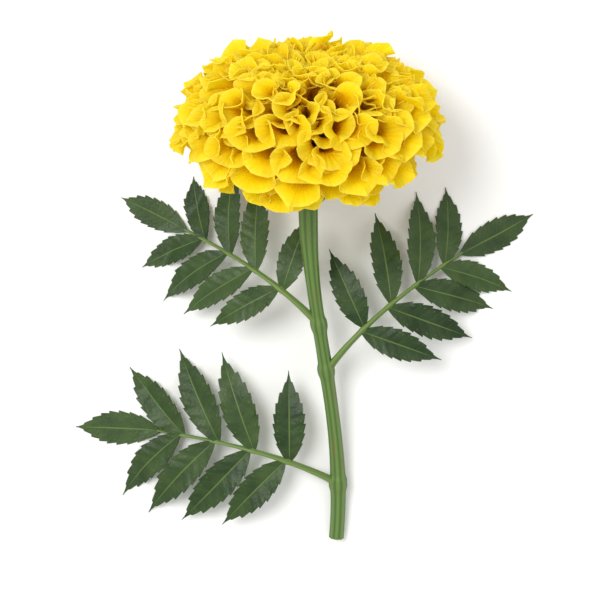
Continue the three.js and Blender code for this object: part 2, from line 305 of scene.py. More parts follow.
# %% The petal material
PETAL_RIBS = 22  # fine ribs across a petal, about 2 mm apart at its ruffled rim
PETAL_BLOTCHES = 220.0  # per metre: soft patches about 4.5 mm wide
PETAL_TRANSLUCENCY = 0.6
PETAL_COLOURS_AND_RIM_HIGHLIGHT = (
    # how far along the petal, and its colour there, from the hidden foot to the very rim; the two
    # palest stops are a painted highlight on the very rim, where its edge catches the light
    (0.0, "#c6c650"),
    (0.4, "#eedc34"),
    (0.66, "#f5de20"),
    (0.78, "#f9de0e"),
    (0.89, "#fceb18"),
    (0.96, "#fef333"),
    (1.0, "#fff862"),
)
# painted shade: where along a petal its throat is painted a deeper gold
THROAT_SHADE_MASK = ((0.52, "#000000"), (0.7, "#ffffff"), (0.83, "#ffffff"), (0.93, "#000000"))


def petal_material():
    # Living petal: a thin wet tissue under a dull skin, so it looks soft, glows and hardly shines.
    material, add = new_material("ray_floret_tissue")
    place, along, across, tone, age = read(add, "along", "across", "tone", "age")
    spots = add(NOISE, {"Vector": place, "Scale": PETAL_BLOTCHES, "Detail": 3.0})
    blotch = add(MATH, [tone, 0.35, spots], "MULTIPLY_ADD")
    deeper = add(MAP_RANGE, [blotch, 0.45, 0.95, 0.0, 0.5])

    # Throats are painted a deeper gold, as shade in the hollow of each floret, most so near the crown,
    # where `age` is small. The centre is a little green.
    upper = add(MAP_RANGE, [age, 0.6, 0.1, 0.4, 0.9])
    throat = set_stops(add(RAMP, [along]), THROAT_SHADE_MASK)
    golden = add(MATH, [upper, throat], "MULTIPLY")
    young = add(MAP_RANGE, [age, 0.04, 0.0, 0.0, 0.14])
    turns = add(MATH, [across, PETAL_RIBS * math.pi], "MULTIPLY")
    ribs = add(MATH, [turns], "SINE")
    # The gold laid over the throats is painted shade; the deeper patches are the petal's own uneven tone.
    layers = [(deeper, "#f8dc10"), (golden, "#faba00"), (young, "#c3c02e")]
    skin = {"strength": 0.22, "depth": 0.4, "roughness": 0.5, "specular": 0.15}
    skin |= {"thinness": PETAL_TRANSLUCENCY, "through": (0.8, "#fff040")}
    # The colour along the petal, with a painted highlight on its very rim
    colour = set_stops(add(RAMP, [along]), PETAL_COLOURS_AND_RIM_HIGHLIGHT)
    end_material(add, colour, layers, ribs, **skin)
    return material


PETAL_TISSUE = petal_material()
print("material:", PETAL_TISSUE.name)

# %% [markdown]
# ## Ray florets
#
# Young florets at the crown are narrow and upright, and those lower down are broad trumpets, slit on the
# side of the crown. A table gives that rule at a few angles from the head's axis. For each of eight rings
# six florets are modelled as grids in code, because their ruffles need free formulas: the rim has more
# tissue than the foot, so it waves, with smaller waves on the large ones, and its edge rolls back.

# %% The kinds of floret
FLORET_KINDS = (
    # angle from the head's axis, how far the lips stand from the root and how much wider the throat is
    # than the foot (both in mm), how far the funnel wraps round its own axis at the rim, the flare of
    # its middle and of its sides (all in degrees), and where along the floret the limb begins
    (0, 25.0, 0.4, 155, 22, 24, 0.90),
    (12, 28.5, 0.8, 150, 34, 34, 0.88),
    (25, 33.0, 1.7, 152, 46, 46, 0.85),
    (45, 38.5, 2.4, 152, 58, 56, 0.83),
    (60, 44.0, 2.8, 150, 64, 60, 0.83),
    (75, 47.5, 2.8, 142, 62, 60, 0.83),
    (88, 40.5, 2.1, 126, 54, 52, 0.865),
    (100, 30.0, 1.3, 112, 44, 42, 0.87),
)
HEAD_STEEPEST = 97  # angle from the axis of the lowest florets
RINGS = 8
FLORETS_IN_RING = 6
FLORET_ROWS = 16
FLORET_COLUMNS = 45
FLORET_STEPS = 60  # steps in which a floret's curve is followed from its foot
FLORET_START = 0.1  # the part nearest the root is packed out of sight, so it isn't made
FLORET_FOOT = 1.2  # radius of the rolled foot
FOOT_WRAP = 2.6  # how far the foot is rolled up to each side, in radians
TUBE_OPENS = 0.3  # where along the floret its tube begins to widen
FLORET_FLATTENED = 0.75  # a mouth is pressed flat by its neighbours, so it is wider than it is deep
FLORET_THICKNESS = 0.26
OUTLINE_POWER = 2.1  # at 2 a lip's outline is an ellipse, and above it the corners fill out
print("floret kinds:", len(FLORET_KINDS))

# %% The ruffles of a floret
RUFFLE_DEPTH = 0.32  # of the large waves, as a share of how far the limb stands out
SMALL_RUFFLES = 2.3  # smaller waves to each large one, and their depth as a share of its depth
SMALL_DEPTH = 0.4
SMALLEST_RUFFLES = 4.1
SMALLEST_DEPTH = 0.15
ROLLED_BACK = 0.34  # how much of a wave's depth is lost again at the very rim
NOTCH_WIDTH = 0.16
NOTCH_DEPTH = 0.12
print("ruffles, large to small:", (RUFFLE_DEPTH, SMALL_DEPTH, SMALLEST_DEPTH))


# %% One floret
def floret_grid(degrees, draw):
    """One floret: its foot at the origin, its length up +Z, and its middle flaring to +X."""
    kinds = np.array(FLORET_KINDS, float).T
    reach, throat, wrap, middle, sides, limb = (np.interp(degrees, kinds[0], kind) for kind in kinds[1:])
    reach *= draw.uniform(0.96, 1.02)
    wrap = math.radians(wrap * draw.uniform(0.88, 1.1))
    middle, sides = (math.radians(angle + draw.uniform(-16, 16)) for angle in (middle, sides))
    limb += draw.uniform(-0.03, 0.03)
    curl = math.radians(draw.uniform(-10, 40))
    waves = draw.uniform(2.5, 3.8)
    phase, phase_small, phase_lobes = draw.uniform(0, 2 * math.pi, 3)

    # Columns and rows lie closer together at the sides and at the rim, where the shape turns most.
    across = np.sin(np.linspace(-1, 1, FLORET_COLUMNS) * math.pi / 2)[None, :]
    level = np.linspace(0, 1, FLORET_ROWS)[:, None] ** 0.6
    rounded = np.sqrt(np.clip(1 - np.abs(across) ** OUTLINE_POWER, 0, 1))
    notches = sum(
        depth * np.exp(-(((across - place) / NOTCH_WIDTH) ** 2))
        for place, depth in zip(draw.uniform(-0.5, 0.5, 2), draw.uniform(0.0, NOTCH_DEPTH, 2))
    )
    rim = mix(limb - 0.04, 1, rounded * (1 - notches))
    along = FLORET_START + (rim - FLORET_START) * level
    flare = mix(middle, sides, across**2) + 0.15 * np.sin(2.5 * across + phase_lobes)

    def turn_at(share):
        return flare * smooth(limb - 0.12, 1.0, share) + curl * smooth(limb + 0.1, 1.0, share) ** 2

    def surface(length):
        radius, height = FLORET_FOOT, 0.0
        for step in range(FLORET_STEPS):
            turn = turn_at(along * (step + 0.5) / FLORET_STEPS)
            radius = radius + np.sin(turn) * length * along / FLORET_STEPS
            height = height + np.cos(turn) * length * along / FLORET_STEPS
        radius = radius + throat * smooth(TUBE_OPENS, limb, along)
        turn = turn_at(along)
        round_axis = mix(FOOT_WRAP, wrap, smooth(TUBE_OPENS, limb + 0.15, along)) * across
        pleat = math.pi * waves * across + phase
        lift = smooth(limb - 0.05, 1.0, along) ** 1.2
        lift = lift * (1 - ROLLED_BACK * smooth(0.87, 1.0, along / rim))
        depth = RUFFLE_DEPTH * (radius - FLORET_FOOT)
        small = SMALL_DEPTH * np.cos(SMALL_RUFFLES * pleat + phase_small)
        smallest = SMALLEST_DEPTH * lift * np.cos(SMALLEST_RUFFLES * pleat + phase_lobes)
        wave = depth * lift * (np.cos(pleat) + lift * (small + smallest))
        lean = 0.4 * depth * lift * np.sin(2 * pleat) / np.maximum(radius, 1)
        outward = radius + wave * np.cos(turn)
        up = height - wave * np.sin(turn)
        bearing = round_axis - lean
        flat = mix(1, FLORET_FLATTENED, smooth(TUBE_OPENS, limb, along))
        return np.stack([outward * np.cos(bearing) * flat, outward * np.sin(bearing), up], axis=-1)

    # The way bends, so its length is corrected until the lips stand as far from the root as they should.
    length = reach
    for _ in range(3):
        length *= reach / np.linalg.norm(surface(length), axis=-1).max()
    return surface(length), along / rim, across + 0 * along


print("points in a floret:", FLORET_ROWS * FLORET_COLUMNS)

# %% Model the florets
florets = bpy.data.collections.new("florets")
draw = np.random.default_rng(7)
for ring in range(RINGS):
    for number in range(FLORETS_IN_RING):
        angle = (ring + 0.5) / RINGS * HEAD_STEEPEST
        grid, along, across = floret_grid(angle, draw)
        name = f"floret_{ring:02d}_{number}"
        new_object(name, sheet_mesh(name, grid, along=along, across=across), florets)

# %% [markdown]
# ## The head
#
# Each floret leaves the head a golden angle further round than the last, as seeds do in a sunflower.
# Geometry Nodes set them out by that rule: a point's number gives its angle from the axis and its turn
# round it, and the point takes a floret of its ring. The head rests on its lowest rims, so once it is
# laid down, every point that would go through the surface is pressed flat against it. Four runs of one
# tree, each for a quarter of the florets, keep the pieces light.

# %% Setting out and pressing down
PRESSED_BEND = 1.5  # height over which a pressed point bends away from the surface


def set_out(add, points, kinds, pick, rotation, angles, scale=(1, 1, 1), **stored):
    """Puts one piece of a collection on each point, stores values on it and makes real meshes of all.

    Each is turned as `rotation` says, and then by `angles` in radians about its own axes.
    """
    turns = {"Rotation": rotation, "Rotate By": add(ROTATION, [angles])}
    turned = add("FunctionNodeRotateRotation", turns, rotation_space="LOCAL")
    whole = {"Collection": kinds, "Separate Children": True, "Reset Children": True}
    choices = add("GeometryNodeCollectionInfo", whole)
    chosen = {"Points": points, "Instance": choices, "Pick Instance": True, "Instance Index": pick}
    placed = add("GeometryNodeInstanceOnPoints", {**chosen, "Rotation": turned, "Scale": scale})
    for label, value in stored.items():
        note = {"Geometry": placed, "Name": label, "Value": value}
        placed = add(STORE, note, data_type="FLOAT", domain="INSTANCE")
    return add("GeometryNodeRealizeInstances", [placed])


def press_down(add, geometry, lowest):
    """Lifts every point that lies under the surface on to it, with a soft bend above it."""
    here = add("ShaderNodeSeparateXYZ", [add("GeometryNodeInputPosition")]).outputs
    height = add(MATH, [here["Z"], lowest * MM, PRESSED_BEND * MM], "SMOOTH_MAX")
    lifted = add(XYZ, [here["X"], here["Y"], height])
    return add("GeometryNodeSetPosition", {"Geometry": geometry, "Position": lifted})


print("setting-out tools ready")

# %% The angle at which a floret leaves the head
FLORET_COUNT = 236
CROWDING = 1.4  # above 1, the crown is packed closer than the rest


def spiral_angle(add, given, number):
    """How far down the dome a floret is, as a share, and its angle from the axis."""
    middle = add(MATH, [number, 0.5], "ADD")
    place = add(MATH, [middle, given["Total"]], "DIVIDE")
    share = add(MATH, [place, CROWDING], "POWER")
    lowest = add(MATH, [given["Steepest"]], "COSINE")
    height = add(MATH, [1.0, lowest], "SUBTRACT")
    down = add(MATH, [share, height], "MULTIPLY")
    cosine = add(MATH, [1.0, down], "SUBTRACT")
    return share, add(MATH, [cosine], "ARCCOSINE")


print("florets to set out:", FLORET_COUNT)

# %% The spiral tree
FIRST_TURN = math.radians(174)  # turns the spiral, so that its last floret lies underneath
FLORET_JITTER = Vector((0.1, 0.1, 0.5))  # radians: florets lean a little and twist more
ROOT_HEIGHT = 4  # the florets' roots lie this far above the cup's mouth
SPIRAL_SEED = 20
TONE_SEED = 5


def spiral_tree():
    numbers = dict.fromkeys(("First", "Count", "Total", "Seed"), "Int")
    kinds = {"Florets": "Collection", "Material": "Material", "Steepest": "Float"}
    tree, add, given = new_tree("floret_spiral", **kinds, **numbers)
    number = add(MATH, [add("GeometryNodeInputIndex"), given["First"]], "ADD")
    share, angle = spiral_angle(add, given, number)
    chance = {"ID": number, "Seed": given["Seed"]}

    # The ring of its angle, and one of the florets of that ring
    part = add(MATH, [angle, given["Steepest"]], "DIVIDE")
    rings = add(MATH, [part, RINGS - 0.01], "MULTIPLY")
    ring = add(MATH, [rings], "FLOOR")
    any_floret = add(RANDOM, {"Min": 0, "Max": FLORETS_IN_RING - 1, **chance}, data_type="INT")
    pick = add(MATH, [ring, FLORETS_IN_RING, any_floret], "MULTIPLY_ADD")

    # Its lean and its turn round the axis
    spin = add(MATH, [number, GOLDEN_ANGLE, FIRST_TURN], "MULTIPLY_ADD")
    leaning = add(ROTATION, [add(XYZ, {"Y": angle, "Z": spin})])
    jitter = add(RANDOM, {"Min": -FLORET_JITTER, "Max": FLORET_JITTER, **chance}, data_type="FLOAT_VECTOR")
    tone = add(RANDOM, {"Min": 0.0, "Max": 1.0, "ID": number, "Seed": TONE_SEED}, data_type="FLOAT")
    points = add("GeometryNodePoints", {"Count": given["Count"]})
    head = set_out(add, points, given["Florets"], pick, leaning, jitter, tone=tone, age=share)

    # Up to the roots, and then over to where the head lies
    up = {"Translation": (0, 0, ROOT_HEIGHT * MM)}
    for move in (up, {"Translation": HEAD_ORIGIN, "Rotation": HEAD_TURN}):
        head = add("GeometryNodeTransform", {"Geometry": head, **move})
    end_tree(add, press_down(add, head, FLORET_THICKNESS / 2), given["Material"])
    return tree


spiral = spiral_tree()
print("spiral tree:", len(spiral.nodes), "nodes")


# %% Set out the florets
def remove_sources(collection):
    """Takes away the models that a tree has copied."""
    for source in list(collection.objects):
        bpy.data.objects.remove(source)
    bpy.data.collections.remove(collection)


petal_pieces = []
quarter = FLORET_COUNT // 4
head = {"Florets": florets, "Material": PETAL_TISSUE, "Count": quarter, "Total": FLORET_COUNT}
head |= {"Steepest": math.radians(HEAD_STEEPEST), "Seed": SPIRAL_SEED}
for number, part in enumerate(("inner", "middle", "outer", "lowest")):
    piece = grow(spiral, "florets_" + part, First=number * quarter, **head)
    petal_pieces.append(thicken(piece, FLORET_THICKNESS))
    describe(piece)
remove_sources(florets)

# %% [markdown]
# ## The green cup
#
# Ten fused bracts make the cup that holds the feet of the florets. Each shows as a low ridge beside a
# groove, and ends in a small pointed tooth. The wall is a grid in code: a profile goes round the axis,
# its radius follows the ridges and its height follows the teeth. Outside and inside are one surface
# that is closed at both poles.

# %% The cup's shape
CUP_HEIGHT = 18
CUP_BOTTOM = 14  # depth of the inside
CUP_WALL = 1.0
CUP_BRACTS = 10
CUP_FOOT_RADIUS = 3.5
CUP_BELLY_RADIUS = 10.2
CUP_NECK_RADIUS = 3.12  # it closes round the stem, which is 3.1 mm there
CUP_NECK_LENGTH = 1.6
CUP_COLUMNS = 200
CUP_ROWS = 44
CUP_ROWS_INSIDE = 16
CUP_ROWS_NECK = 8
TOOTH_HEIGHT = 2.6
RIDGE_HEIGHT = 0.28
GROOVE_DEPTH = 0.3


def cup_radius(height):
    level = np.clip((height + CUP_HEIGHT) / CUP_HEIGHT, 0, 1)
    return mix(CUP_FOOT_RADIUS, CUP_BELLY_RADIUS, np.sin(level * math.pi / 2) ** 0.75) - level**6


def make_cup(draw):
    round_cup = np.linspace(0, 2 * math.pi, CUP_COLUMNS + 1)[None, :]
    bract = round_cup / (2 * math.pi) * CUP_BRACTS
    from_ridge = np.abs((bract % 1) - 0.5) * 2  # 0 on a ridge, 1 in a groove
    numbers = np.floor(bract).astype(int) % CUP_BRACTS
    tooth = TOOTH_HEIGHT * draw.uniform(0.85, 1.05, CUP_BRACTS)[numbers] * (1 - from_ridge) ** 0.8

    # Outside, from the foot up to the teeth
    outside = np.linspace(0, 1, CUP_ROWS)[:, None] ** 0.8
    height = mix(-CUP_HEIGHT, 0, outside) + tooth * outside**6
    relief = RIDGE_HEIGHT * (1 - from_ridge**2) - GROOVE_DEPTH * smooth(0.78, 1.0, from_ridge) - 0.1
    radius = cup_radius(mix(-CUP_HEIGHT, 0, outside)) + relief * smooth(0, 0.25, outside)
    radius = radius + 0.25 * outside**8 * (1 - from_ridge)

    # Inside, from the teeth down to the bottom
    inside = np.linspace(1, 0, CUP_ROWS_INSIDE)[:, None]
    height_in = mix(-CUP_BOTTOM, 0, inside) + (tooth - 0.15) * inside**6
    radius_in = cup_radius(mix(-CUP_BOTTOM, 0, inside)) - CUP_WALL * mix(1, 0.35, inside**4)

    # The neck round the stem, and the whole profile from pole to pole
    pole = 0 * round_cup
    neck = np.linspace(0, 1, CUP_ROWS_NECK + 1)[:-1, None]
    radius_neck = mix(CUP_NECK_RADIUS, radius[1:2], neck**2.2)
    height_neck = mix(-CUP_HEIGHT - CUP_NECK_LENGTH, height[1:2], neck)
    radii = np.concatenate([pole, radius_neck, radius[1:], radius_in + pole, pole])
    lowest = pole - CUP_HEIGHT - CUP_NECK_LENGTH
    heights = np.concatenate([lowest, height_neck, height[1:], height_in, pole - CUP_BOTTOM])
    along = np.clip((heights + CUP_HEIGHT) / CUP_HEIGHT, 0, 1.2)
    grid = np.stack([radii * np.cos(round_cup), radii * np.sin(round_cup), heights], axis=-1)
    mesh = sheet_mesh("cup", grid, along=along, around=bract + 0 * along)
    mesh.transform(head_to_world)
    return new_object("cup", close_seams(mesh))


cup = make_cup(draw)
describe(cup)

# %% [markdown]
# ## Skin of the cup
#
# The cup is fleshy and smooth, with a thin wax that gives it a soft shine, and darker in its grooves.
# Oil glands show as small pale spots in its upper part, and the teeth dry out to brown. All of it
# follows the attributes `along` and `around`, so it stays on the right bract.

# %% The cup's material
BRACT_COLOURS = (
    # how far up the cup, and its colour there
    (0.0, "#4a6b2a"),
    (0.35, "#5d8a2c"),
    (0.8, "#6f9a33"),
    (0.97, "#86a646"),
    (1.0, "#7a6a35"),
)
BRACT_GRAIN = 900.0  # per metre: a fine unevenness, about 1 mm wide
GLANDS_ACROSS = 4.0  # glands to the width of a bract, about 1.6 mm apart
GLANDS_UP = 2.2  # times as many up its height, about 2 mm apart


def cup_material():
    # Fleshy green bract under thin wax: smooth and cool, with a soft shine along each ridge.
    material, add = new_material("waxy_bract_skin")
    place, along, around = read(add, "along", "around")
    groove = add(MATH, [around, 0.5], "PINGPONG")
    shade = add(MAP_RANGE, [groove, 0.0, 0.14, 0.55, 0.0])

    # Glands are the middles of cells that are laid out on each bract, in its upper part only.
    across = add(MATH, [around, 1.0], "FRACT")
    up = add(MATH, [along, GLANDS_UP], "MULTIPLY")
    on_bract = add(XYZ, [across, up])
    glands = add("ShaderNodeTexVoronoi", {"Vector": on_bract, "Scale": GLANDS_ACROSS, "Randomness": 0.5})
    gland = add(MAP_RANGE, [glands, 0.16, 0.1, 0.0, 1.0])
    high = add(MAP_RANGE, [along, 0.55, 0.75, 0.0, 0.8])
    shown = add(MATH, [gland, high], "MULTIPLY")
    grain = add(NOISE, {"Vector": place, "Scale": BRACT_GRAIN, "Detail": 2.0})
    layers = [(shade, "#2f4f1f"), (shown, "#cdbf76")]
    skin = {"strength": 0.2, "depth": 0.2, "roughness": 0.42, "specular": 0.4}
    colour = set_stops(add(RAMP, [along]), BRACT_COLOURS)
    end_material(add, colour, layers, grain, **skin)
    return material


BRACT_SKIN = cup_material()
cup.data.materials.append(BRACT_SKIN)
print("material:", BRACT_SKIN.name)

# %% [markdown]
# ## The way of the stem and the midribs
#
# A stem and a midrib are round bodies along a curve. Each curve is a Bezier curve with four points, and
# a leaf starts where its joint is on the stem, so the stem's curve is measured along its real length.

# %% Curves
CURVE_POINTS = ("Start", "Start Handle", "End Handle", "End")
STEM_LENGTH = 122
STEM_WIDEST = 3.1
STEM_CUT_RADIUS = 2.6
STEM_END_SLOPE = math.radians(6)
STEM_SWAY = 10  # its cut end lies this far to the side
STEM_HANDLE = 0.36  # how far the handles of its curve reach, as a share of its length
STEM_JOINTS = (0.36, 0.5, 0.84)  # where the leaves join it, as shares of its length
SEAT_GAP = 0.3  # the stem starts this far below the cup


def curve_ends(path):
    """A path in millimetres as the four inputs of a tree's curve."""
    return {label: Vector(point) * MM for label, point in zip(CURVE_POINTS, path)}


def on_curve(points, shares):
    """Places on a Bezier curve of four points, at these shares of its length."""
    start, first, second, end = (np.array(point, float) for point in points)
    t = np.linspace(0, 1, 401)[:, None]
    line = start * (1 - t) ** 3 + 3 * first * t * (1 - t) ** 2 + 3 * second * t**2 * (1 - t) + end * t**3
    travelled = np.concatenate([[0], np.cumsum(np.linalg.norm(np.diff(line, axis=0), axis=1))])
    wanted = np.asarray(shares) * travelled[-1]
    return np.stack([np.interp(wanted, travelled, line[:, axis]) for axis in range(3)], axis=-1)


def stem_path():
    axis = np.array(head_axis)
    top = np.array(HEAD_ORIGIN) / MM - axis * (CUP_HEIGHT + SEAT_GAP)
    drop = top[2] - STEM_CUT_RADIUS
    end_y = top[1] - math.sqrt(STEM_LENGTH**2 - drop**2)
    end = np.array([top[0] + STEM_SWAY, end_y, STEM_CUT_RADIUS * math.cos(STEM_END_SLOPE)])
    back = np.array([0.08, 1, math.tan(STEM_END_SLOPE)])
    reach = STEM_LENGTH * STEM_HANDLE
    return top, top - axis * reach, end + back / np.linalg.norm(back) * reach, end


STEM_PATH = stem_path()
print("stem ends at", [round(float(part), 1) for part in STEM_PATH[3]], "mm")

# %% [markdown]
# ## Tubes along a curve
#
# Curve to Mesh sweeps a profile along a path. A float curve gives the radius on the way, so a stem can
# have a neck and swollen joints, and the profile is a circle whose points are pushed out into ridges.
# One function makes such a tree for the stem and one for the midribs, each with its own float curve.


# %% The tube tree
def curve_tree(name, steps, **inputs):
    """A tree with a Bezier curve, whose four points are its first inputs."""
    tree, add, given = new_tree(name, **dict.fromkeys(CURVE_POINTS, "Vector"), **inputs)
    ends = {label: given[label] for label in CURVE_POINTS}
    curve = add("GeometryNodeCurvePrimitiveBezierSegment", {"Resolution": steps, **ends})
    return tree, add, given, curve


def tube_tree(name, radii):
    """A tree for tubes. Radii is a list of pairs: a share of the length, and a share of the widest."""
    kinds = {"Steps": "Int", "Sides": "Int", "Widest": "Float", "Ridges": "Float", "Relief": "Float"}
    tree, add, given, curve = curve_tree(name, 200, **kinds, Material="Material")
    path = add("GeometryNodeResampleCurve", {"Curve": curve, "Count": given["Steps"]})
    way = add("GeometryNodeSplineParameter").outputs["Factor"]
    marked = add(STORE, {"Geometry": path, "Name": "along", "Value": way}, data_type="FLOAT")

    # The radius on the way
    shape = add("ShaderNodeFloatCurve", {"Value": way})
    points = shape.mapping.curves[0].points
    points[0].location = radii[0]
    points[1].location = radii[-1]
    for place, radius in radii[1:-1]:
        points.new(place, radius)
    shape.mapping.update()
    thickness = add(MATH, [shape, given["Widest"]], "MULTIPLY")

    # The profile: a circle with ridges
    circle = add("GeometryNodeCurvePrimitiveCircle", {"Resolution": given["Sides"], "Radius": 1.0})
    rounded = add(STORE, {"Geometry": circle, "Name": "around", "Value": way}, data_type="FLOAT")
    turn = add(MATH, [way, 2 * math.pi], "MULTIPLY")
    turns = add(MATH, [turn, given["Ridges"]], "MULTIPLY")
    wave = add(MATH, [turns], "COSINE")
    push = add(MATH, [wave, given["Relief"]], "MULTIPLY")
    here = add("GeometryNodeInputPosition")
    outward = add(VECTOR_MATH, {0: here, "Scale": push}, "SCALE")
    profile = add("GeometryNodeSetPosition", {"Geometry": rounded, "Offset": outward})

    sweep = {"Curve": marked, "Profile Curve": profile, "Scale": thickness, "Fill Caps": True}
    tube = add("GeometryNodeCurveToMesh", sweep)
    smooth_tube = add("GeometryNodeSetShadeSmooth", {"Geometry": tube, "Shade Smooth": True})
    end_tree(add, smooth_tube, given["Material"])
    return tree


print("inputs of a curve:", CURVE_POINTS)

# %% [markdown]
# ## Skin of the stem
#
# The stem is firm, green and finely grooved, with a satin skin. It is a little darker in the grooves and
# flushed with brown in long patches. The midribs of the leaves have the same skin, but paler and more
# yellow. One function makes both from three colours.

# %% The stem's materials
STEM_RIDGES = 8
RIB_RIDGES = 3
STEM_GRAIN = 1200.0  # per metre: a fine unevenness, a little under 1 mm wide
STEM_PATCHES = 9.0  # patches round a stem and as many along it, so that they are long


def skin_material(name, ridge, groove, tinge, grooves):
    # Firm green skin: satin, striped along its ridges, here and there flushed with brown.
    material, add = new_material(name)
    place, around, along = read(add, "around", "along")
    turns = add(MATH, [around, grooves * 2 * math.pi], "MULTIPLY")
    wave = add(MATH, [turns], "COSINE")
    in_groove = add(MAP_RANGE, [wave, 0.4, -0.9, 0.0, 0.8])
    patches = add(NOISE, {"Vector": add(XYZ, [around, along]), "Scale": STEM_PATCHES, "Detail": 3.0})
    reddish = add(MAP_RANGE, [patches, 0.56, 0.75, 0.0, 0.6])
    grain = add(NOISE, {"Vector": place, "Scale": STEM_GRAIN, "Detail": 2.0})
    layers = [(in_groove, groove), (reddish, tinge)]
    skin = {"strength": 0.15, "depth": 0.2, "roughness": 0.45, "specular": 0.4}
    end_material(add, linear(ridge), layers, grain, **skin)
    return material


STEM_SKIN = skin_material("grooved_stem_skin", "#5f7c38", "#3d5a28", "#74583a", STEM_RIDGES)
RIB_SKIN = skin_material("pale_midrib_skin", "#667f3b", "#4c692f", "#6f6c3b", RIB_RIDGES)
print("materials:", STEM_SKIN.name, RIB_SKIN.name)

# %% The stem
STEM_RADII = [(0.0, 1.0), (0.06, 0.97), (0.16, 0.83), (0.3, 0.71)]
for joint in STEM_JOINTS:
    base = mix(0.71, 0.84, float(smooth(0.3, 1.0, joint)))
    STEM_RADII += [(joint - 0.03, base + 0.01), (joint - 0.004, base + 0.2), (joint + 0.03, base + 0.01)]
STEM_RADII.append((1.0, 0.8))
STEM_SIDES = 64
STEM_SIZES = {"Steps": 220, "Sides": STEM_SIDES, "Widest": STEM_WIDEST * MM}
STEM_SIZES |= {"Ridges": STEM_RIDGES, "Relief": 0.045}  # relief is a share of the radius

stem_tube = tube_tree("grooved_stem", STEM_RADII)
stem = grow(stem_tube, "stem_skin", **curve_ends(STEM_PATH), **STEM_SIZES, Material=STEM_SKIN)
describe(stem)

# %% [markdown]
# ## The cut end
#
# A clean cut shows three rings: the green skin, a pale ring of wood and the white pith, which shrinks as
# it dries. The stem's last ring of points gives the edge, so the face follows every ridge, and smaller
# copies of that ring fill it. Each point stores how far out it is, for the colours of the rings.

# %% The cut face's material
PITH_CELLS = 2500.0  # per metre: cells 0.4 mm wide, coarser than real ones so that they show
CUT_COLOURS = (
    # how far out from the middle, and the colour there
    (0.0, "#dfe3bf"),
    (0.56, "#d3dcab"),
    (0.63, "#a9bb74"),
    (0.8, "#b9c68a"),
    (0.9, "#6d8a40"),
    (1.0, "#55742f"),
)


def cut_material():
    # Fresh pith: matt, pale and full of tiny cells, so it catches the light softly.
    material, add = new_material("cut_pith")
    place, outward = read(add, "outward")
    cells = add("ShaderNodeTexVoronoi", {"Vector": place, "Scale": PITH_CELLS})
    skin = {"strength": 0.4, "depth": 0.1, "roughness": 0.6, "specular": 0.3}
    colour = set_stops(add(RAMP, [outward]), CUT_COLOURS)
    end_material(add, colour, [], cells, **skin)
    return material


CUT_PITH = cut_material()
print("material:", CUT_PITH.name)

# %% The cut face
CUT_RIM = 0.3  # how far the firm rim and the shrunken pith stand out past the stem's end
CUT_MIDDLE = 0.05
CUT_DEPTH = 0.3  # how far the face's body goes into the stem
CUT_SPREAD = 1.004  # a hair wider than the stem, so that the edge shows no gap
CUT_RINGS = 14


def make_cut_face():
    points = np.array([vertex.co[:] for vertex in stem.data.vertices[-STEM_SIDES:]]) / MM
    edge = np.concatenate([points, points[:1]])[None, :, :]
    middle = points.mean(axis=0)
    end, before = on_curve(STEM_PATH, [1.0, 0.99])
    away = (end - before) / np.linalg.norm(end - before)
    outward = np.linspace(0, 1, CUT_RINGS)[:, None, None]
    rise = mix(CUT_MIDDLE, CUT_RIM, smooth(0.3, 0.75, outward)) - 0.15 * smooth(0.9, 1.0, outward)
    face = middle + (edge - middle) * outward * CUT_SPREAD + away * rise
    back = middle + (edge - middle) * outward[::-1] * CUT_SPREAD - away * CUT_DEPTH
    share = np.concatenate([outward, outward[::-1]])[:, :, 0] + 0 * edge[:, :, 0]
    mesh = sheet_mesh("cut_face", np.concatenate([face, back]), outward=share)
    return new_object("cut_face", close_seams(mesh))


cut_face = make_cut_face()
cut_face.data.materials.append(CUT_PITH)
describe(cut_face)

# %% [markdown]
# ## Leaflets
#
# A leaf is pinnate: pairs of leaflets along a midrib, and one more at the tip. A leaflet is a lance with
# small teeth that point forward, about every 4 mm. It is a grid in code: each tooth has four rows, its
# width grows along them and drops at the next. The blade is folded at its midrib, lifts and then droops,
# and bulges between its side veins. Each point stores where it is across the blade and between the
# veins, for the material.

# %% Shape of a leaflet
LEAFLET_LENGTH = 34
LEAFLET_HALF_WIDTH = 5.1
LEAFLET_RISE = 0.16  # how steeply a leaflet leaves its foot
LEAFLET_FOLD = 0.22  # how steeply its halves rise from the midrib
LEAFLET_BULGE = 0.16
LEAFLET_WAVE = 0.5
LEAFLET_TEETH = 9
TOOTH_ROWS = (0.0, 0.3, 0.6, 0.86)  # shares of a tooth
TOOTH_DEPTH = 0.9
TOOTH_FORWARD = 0.7  # how far its tip points forward
LEAFLET_COLUMNS = 15
LEAFLET_THICKNESS = 0.35
LEAFLET_KINDS = 6
SIDE_CURL = 4  # how far a tip may bend to the side


def leaflet_height(along, droop):
    return LEAFLET_LENGTH * (LEAFLET_RISE * along - droop * along**2)


